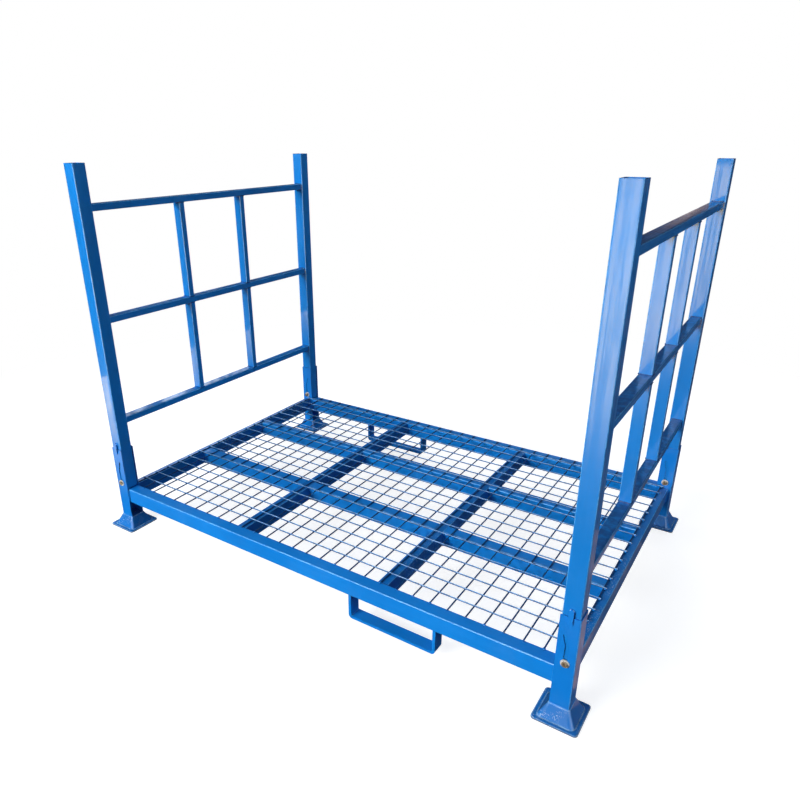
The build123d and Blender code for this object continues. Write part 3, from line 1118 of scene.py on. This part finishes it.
@dataclass(frozen=True)
class GlossCard:
    """A cloth or card that shows only in the gloss of the paint."""

    name: str
    corners: tuple[Place, ...]
    tones: tuple[Tone, Tone] = (DARK, DARK)
    grain: float = 1.3
    stripe: float = 1.0
    patch_span: Span = (0.38, 0.64)
    fade_axis: Axis = Axis.Z
    fade: Span | None = None

    def build(self) -> None:
        """Makes the card, as part of the studio."""
        piece = new_piece(self.name, self.corners, [(0, 1, 2, 3)], self._material())
        piece.visible_camera = False
        piece.visible_diffuse = False
        piece.visible_shadow = False
        piece.visible_transmission = False

    def _material(self) -> Material:
        """Mottled glow between the two tones, dark where the fade begins.

        Returns:
            The material.
        """
        bench = NodeBench(bpy.data.materials.new(self.name))
        mottle = Grain(self.grain, 4.0, 0.6, self.patch_span)
        patches = bench.patches(mottle, FULL, bench.stretched((self.stripe, 1.0, 1.0)))
        colour = bench.mix(patches, *self.tones)
        if self.fade:
            share = bench.remap(bench.parts(bench.place)[self.fade_axis.value], self.fade)
            colour = bench.mix(share, colour, DARK)
        glow = bench.add("Emission", Strength=1.0)
        bench.link(colour, glow.inputs["Color"])
        return bench.end_in(glow.outputs[0])


@dataclass
class Studio:
    """Pale floor, white surroundings, soft lamps and the cards round them."""

    lamps: tuple[SoftLamp, ...] = (
        SoftLamp("key", (-2.0, -5.6, 2.3), (0.0, 0.0, 0.4), (3.0, 2.0), 455.0, SUN),
        SoftLamp("sky", (0.2, 0.8, 4.6), (0.0, 0.0, 0.3), (4.5, 4.0), 8.0, SKY),
        SoftLamp("back_fill", (-0.4, 5.2, 2.4), (0.0, 0.0, 0.4), (3.0, 2.4), 120.0, DAYLIGHT),
        SoftLamp("left_fill", (-5.2, 0.8, 1.9), (0.0, 0.0, 0.5), (2.4, 2.0), 70.0, DAYLIGHT),
        SoftLamp("right_fill", (5.4, 0.2, 1.0), (0.0, 0.0, 0.5), (2.4, 1.6), 70.0, DAYLIGHT),
    )
    cards: tuple[GlossCard, ...] = (
        GlossCard("floor_cloth", level_card((-9.0, 0.77), (-2.9, 4.0), ON_FLOOR)),
        GlossCard("left_floor_cloth", level_card((-9.0, -1.6), (-9.0, -2.9), ON_FLOOR)),
        GlossCard("right_floor_cloth", level_card((0.77, 5.0), (-2.9, 4.0), ON_FLOOR), (DARK, SOIL),
                  2.2, 5.0),
        GlossCard("right_earth_cloth", level_card((0.77, 0.93), (-0.4, 0.3), (0.006, 0.006)), (SOIL, COPPER),
                  3.0),
        GlossCard("ceiling_cloth", level_card((-4.0, 4.0), (0.6, 34.0), (3.2, 3.2)), (DARK, CREAM), 0.1, 60.0,
                  (0.50, 0.62), Axis.Y, (21.0, 14.0)),
        GlossCard("back_cloth", level_card((-4.0, 4.0), (34.0, 34.0), (0.0, 3.2)), (DARK, SOIL), 0.4, 9.0),
        GlossCard("rear_floor_cloth", level_card((-4.0, 4.0), (4.0, 34.0), ON_FLOOR)),
        GlossCard("left_cloth", upright_card(-4.0, (-9.0, 34.0), (0.0, 4.0))),
        GlossCard("right_cloth", upright_card(4.0, (-3.0, 34.0), (0.0, 4.0)), (DARK, SOIL), fade=(1.3, 2.3)),
        GlossCard("front_panel", level_card((-1.5, 2.7), (-1.3, -5.6), (0.01, 0.87)), (PALE_SHADE, PALE),
                  0.8, 13.0, fade_axis=Axis.Y, fade=(-2.4, -1.35)),
        GlossCard("front_cloth", level_card((-2.1, 3.2), (-5.7, -5.7), (0.89, 4.5))),
        GlossCard("left_panel", level_card((-2.05, -0.9), (-1.40, -0.5), (0.01, 0.01)),
                  (LEFT_SHADE, LEFT_PALE), 6.0, fade_axis=Axis.Y, fade=(-1.25, -0.55)),
        GlossCard("left_strip", upright_card(-3.9, (1.6, 3.4), (1.80, 2.05)), (DARK, SKY_WHITE), 5.0),
        GlossCard("left_edge_strip", upright_card(-3.9, (1.6, 4.6), (2.05, 2.09)), (SKY_WHITE, SKY_WHITE)),
        GlossCard("right_strip", upright_card(3.9, (-2.4, -1.0), (0.2, 2.6)), (SKY_WHITE, SKY_WHITE)),
        GlossCard("edge_card", level_card((-2.4, 2.0), (-2.6, -3.6), (4.2, 3.15)), (GLINT, GLINT)),
        GlossCard("ridge_card", level_card((1.1, 2.6), (-3.6, -4.6), (3.15, 2.4)), (GLINT, GLINT)),
        GlossCard("foot_card", level_card((-1.0, 0.8), (-5.6, -5.6), (2.3, 3.4)), (BRIGHT, BRIGHT)),
    )
    floor_half: float = 60.0
    floor_tones: tuple[Tone, Tone] = ((0.44, 0.445, 0.45), (0.48, 0.485, 0.49))
    floor_grain: Grain = Grain(5.0, 5.0, 0.5, (0.30, 0.70))
    floor_lift: float = 0.80
    bounce: Tone = (0.15, 0.15, 0.155)
    fade: Span = (1.2, 2.6)
    horizon: Span = (-0.25, 0.65)
    sky_tones: tuple[Tone, Tone] = ((0.55, 0.57, 0.60), (0.42, 0.54, 0.70))
    sky_strength: float = 0.17

    def floor(self) -> None:
        """Level floor that takes the shadow near the rack and turns white further out."""
        width = (-self.floor_half, self.floor_half)
        corners = level_card(width, width, (0.0, 0.0))
        piece = new_piece("studio_floor", corners, [(0, 1, 2, 3)], self._floor_material())

    def _floor_material(self) -> Material:
        """Matt floor, lifted to white for camera and gloss away from the rack.

        Returns:
            The material.
        """
        bench = NodeBench(bpy.data.materials.new("studio_floor"))
        distance = bench.feed(bench.add("VectorMath", operation="LENGTH"), bench.place)["Value"]
        far = bench.remap(distance, self.fade)
        matt = bench.add("BsdfDiffuse", Color=(*self.bounce, 1.0)).outputs[0]
        paper = bench.add("BsdfDiffuse")
        tone = bench.mix(bench.patches(self.floor_grain), *self.floor_tones)
        bench.link(tone, paper.inputs["Color"])
        white = bench.add("Emission", Strength=1.0).outputs[0]
        lift = bench.add("Emission", Strength=self.floor_lift).outputs[0]
        near = bench.feed(bench.add("AddShader"), paper.outputs[0], lift)[0]
        shown = bench.feed(bench.add("MixShader"), far, near, white)[0]
        return bench.end_in(bench.feed(bench.add("MixShader"), self._seen(bench), matt, shown)[0])

    def _seen(self, bench: NodeBench) -> Socket:
        """Tells rays that look from rays that light.

        Args:
            bench: bench of the material or world.

        Returns:
            1 for rays of the camera, of gloss and through glass; 0 for lighting.
        """
        rays = bench.add("LightPath").outputs
        seen = bench.larger(rays["Is Camera Ray"], rays["Is Glossy Ray"])
        return bench.larger(seen, rays["Is Transmission Ray"])

    def surroundings(self) -> None:
        """White to look at; a soft sky over a dim horizon as light."""
        bench = NodeBench(bpy.data.worlds.new("studio"))
        height = bench.remap(bench.parts(bench.coords("Generated"))["Z"], self.horizon)
        dim = bench.add("Background", Strength=self.sky_strength)
        bench.link(bench.mix(height, *self.sky_tones), dim.inputs["Color"])
        white = bench.add("Background", Color=(1.0, 1.0, 1.0, 1.0), Strength=1.0)
        shown = bench.feed(bench.add("MixShader"), self._seen(bench), dim.outputs[0], white.outputs[0])[0]
        bpy.context.scene.world = bench.end_in(shown, "OutputWorld")

    def build(self) -> None:
        """Sets up floor, surroundings, lamps and cloths."""
        self.floor()
        self.surroundings()
        for item in (*self.lamps, *self.cards):
            item.build()
        bpy.context.scene.view_settings.view_transform = "Standard"


@dataclass(frozen=True)
class Viewpoint:
    """Camera that looks down on the rack from its front right; turn, dip and roll are in degrees."""

    place: Place = (1.0066, -1.6319, 1.1855)
    turn: float = 33.908  # to the left of +Y
    dip: float = 23.161  # below level
    roll: float = -0.412
    lens: float = 30.11  # mm, as the sensor
    sensor: float = 36.0
    shift: Span = (0.0348, 0.0255)
    reach: Span = (0.02, 200.0)

    def build(self) -> None:
        """Makes the camera and makes it the scene's own."""
        camera = bpy.data.cameras.new("camera")
        camera.sensor_fit = "HORIZONTAL"
        camera.sensor_width = self.sensor
        camera.lens = self.lens
        camera.shift_x, camera.shift_y = self.shift
        camera.clip_start, camera.clip_end = self.reach
        holder = bpy.data.objects.new("camera", camera)
        turn, dip, roll = (math.radians(angle) for angle in (self.turn, self.dip, self.roll))
        level = Vector((math.cos(turn), math.sin(turn), 0))
        ahead = Vector((-math.sin(turn) * math.cos(dip), math.cos(turn) * math.cos(dip), -math.sin(dip)))
        above = level.cross(ahead)
        right = level * math.cos(roll) + above * math.sin(roll)
        up = above * math.cos(roll) - level * math.sin(roll)
        axes = Matrix((right, up, -ahead)).transposed().to_4x4()
        holder.matrix_world = Matrix.Translation(self.place) @ axes
        bpy.context.scene.collection.objects.link(holder)
        bpy.context.scene.camera = holder
        LOG.info("camera at %s", self.place)


def smooth_tubes() -> None:
    """Shades round faces smooth and keeps sharp bends crisp."""
    for piece in frame["nodes"].values():
        mesh = piece.data
        mesh.shade_smooth()
        mesh.set_sharp_from_angle(angle=CRISP_ANGLE)


def main() -> None:
    """Dresses the rack, then sets up the studio and the camera."""
    logging.basicConfig(level=logging.INFO)
    shop = PaintShop()
    shop.open()
    shop.coat_nodes(frame["record"])
    smooth_tubes()
    EdgeRounding().apply()
    BaseFrame().build(shop)
    MeshDeck().build(shop)
    for side in Side:
        EndFrame(side).build(shop)
    Studio().build()
    Viewpoint().build()


if __name__ == "__main__":
    main()
